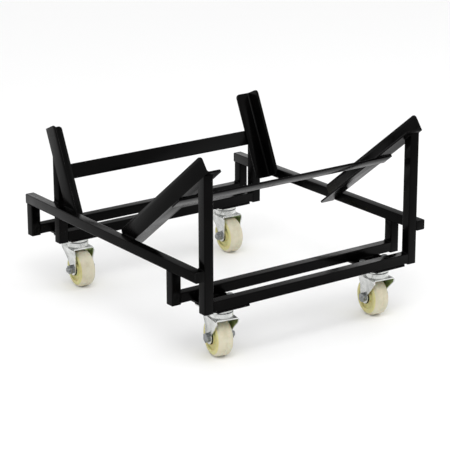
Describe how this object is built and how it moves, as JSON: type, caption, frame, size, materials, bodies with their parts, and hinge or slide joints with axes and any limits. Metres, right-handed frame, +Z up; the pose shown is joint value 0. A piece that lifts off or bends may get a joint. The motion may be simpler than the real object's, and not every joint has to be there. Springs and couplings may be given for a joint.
{
  "type": "furniture dolly",
  "caption": "Wheeled dolly for a stack of chairs: black welded tube base, sloped front rest, leaning back rest, and swivel casters with cream nylon wheels.",
  "frame": {"origin": "on the floor, at the middle of the dolly's width and length", "axes": "+X to the dolly's right, +Y from the sloped front rest to the back rest, +Z up"},
  "size_m": [0.54, 0.612, 0.3996],
  "materials": {
    "frame_paint": "gloss black",
    "end_cap_plastic": "matte",
    "washer_plastic": "matte",
    "wheel_nylon": "satin cream",
    "caster_zinc": "bright zinc plate",
    "hardware_steel": "zinc plate"
  },
  "bodies": {
    "frame": {"rail_left": "frame_paint", "rail_right": "frame_paint", "front_post_left": "frame_paint", "front_post_right": "frame_paint", "rear_post_left": "frame_paint", "rear_post_right": "frame_paint", "front_leg_left": "frame_paint", "front_leg_right": "frame_paint", "rear_leg_left": "frame_paint", "rear_leg_right": "frame_paint", "front_outer_crossmember": "frame_paint", "front_inner_crossmember": "frame_paint", "rear_inner_crossmember": "frame_paint", "rear_outer_crossmember": "frame_paint", "front_rest_angle_left": "frame_paint", "front_rest_angle_right": "frame_paint", "back_rest_angle_left": "frame_paint", "back_rest_angle_right": "frame_paint", "front_crossbar": "frame_paint", "rear_crossbar": "frame_paint", "front_left_mount_plate": "frame_paint", "front_right_mount_plate": "frame_paint", "rear_left_mount_plate": "frame_paint", "rear_right_mount_plate": "frame_paint", "rail_end_caps": "end_cap_plastic", "leg_end_caps": "end_cap_plastic", "plate_bolts": "hardware_steel", "plate_nuts": "hardware_steel", "kingpins": "hardware_steel", "swivel_balls": "hardware_steel", "front_left_top_plate": "caster_zinc", "front_right_top_plate": "caster_zinc", "rear_left_top_plate": "caster_zinc", "rear_right_top_plate": "caster_zinc"},
    "front_left_swivel": {"front_left_fork": "caster_zinc", "front_left_axle_bolt": "hardware_steel", "front_left_axle_nut": "hardware_steel", "front_left_axle_sleeve": "hardware_steel", "front_left_hub_washers": "washer_plastic"},
    "front_left_roller": {"front_left_wheel": "wheel_nylon"},
    "front_right_swivel": {"front_right_fork": "caster_zinc", "front_right_axle_bolt": "hardware_steel", "front_right_axle_nut": "hardware_steel", "front_right_axle_sleeve": "hardware_steel", "front_right_hub_washers": "washer_plastic"},
    "front_right_roller": {"front_right_wheel": "wheel_nylon"},
    "rear_left_swivel": {"rear_left_fork": "caster_zinc", "rear_left_axle_bolt": "hardware_steel", "rear_left_axle_nut": "hardware_steel", "rear_left_axle_sleeve": "hardware_steel", "rear_left_hub_washers": "washer_plastic"},
    "rear_left_roller": {"rear_left_wheel": "wheel_nylon"},
    "rear_right_swivel": {"rear_right_fork": "caster_zinc", "rear_right_axle_bolt": "hardware_steel", "rear_right_axle_nut": "hardware_steel", "rear_right_axle_sleeve": "hardware_steel", "rear_right_hub_washers": "washer_plastic"},
    "rear_right_roller": {"rear_right_wheel": "wheel_nylon"}
  },
  "joints": [
    {"name": "front_left_swivel_turn", "type": "hinge", "parent": "frame", "child": "front_left_swivel", "pos_m": [-0.186, -0.259, 0.093], "axis": [0, 0, 1], "continuous": true},
    {"name": "front_left_wheel_spin", "type": "hinge", "parent": "front_left_swivel", "child": "front_left_roller", "pos_m": [-0.18357, -0.24521, 0.0375], "axis": [-0.9848, 0.1736, 0], "continuous": true},
    {"name": "front_right_swivel_turn", "type": "hinge", "parent": "frame", "child": "front_right_swivel", "pos_m": [0.186, -0.259, 0.093], "axis": [0, 0, 1], "continuous": true},
    {"name": "front_right_wheel_spin", "type": "hinge", "parent": "front_right_swivel", "child": "front_right_roller", "pos_m": [0.18771, -0.2451, 0.0375], "axis": [-0.9925, 0.1219, 0], "continuous": true},
    {"name": "rear_left_swivel_turn", "type": "hinge", "parent": "frame", "child": "rear_left_swivel", "pos_m": [-0.186, 0.247, 0.093], "axis": [0, 0, 1], "continuous": true},
    {"name": "rear_left_wheel_spin", "type": "hinge", "parent": "rear_left_swivel", "child": "rear_left_roller", "pos_m": [-0.1871, 0.23304, 0.0375], "axis": [0.9969, -0.0785, 0], "continuous": true},
    {"name": "rear_right_swivel_turn", "type": "hinge", "parent": "frame", "child": "rear_right_swivel", "pos_m": [0.186, 0.247, 0.093], "axis": [0, 0, 1], "continuous": true},
    {"name": "rear_right_wheel_spin", "type": "hinge", "parent": "rear_right_swivel", "child": "rear_right_roller", "pos_m": [0.18478, 0.23305, 0.0375], "axis": [0.9962, -0.0872, 0], "continuous": true}
  ]
}
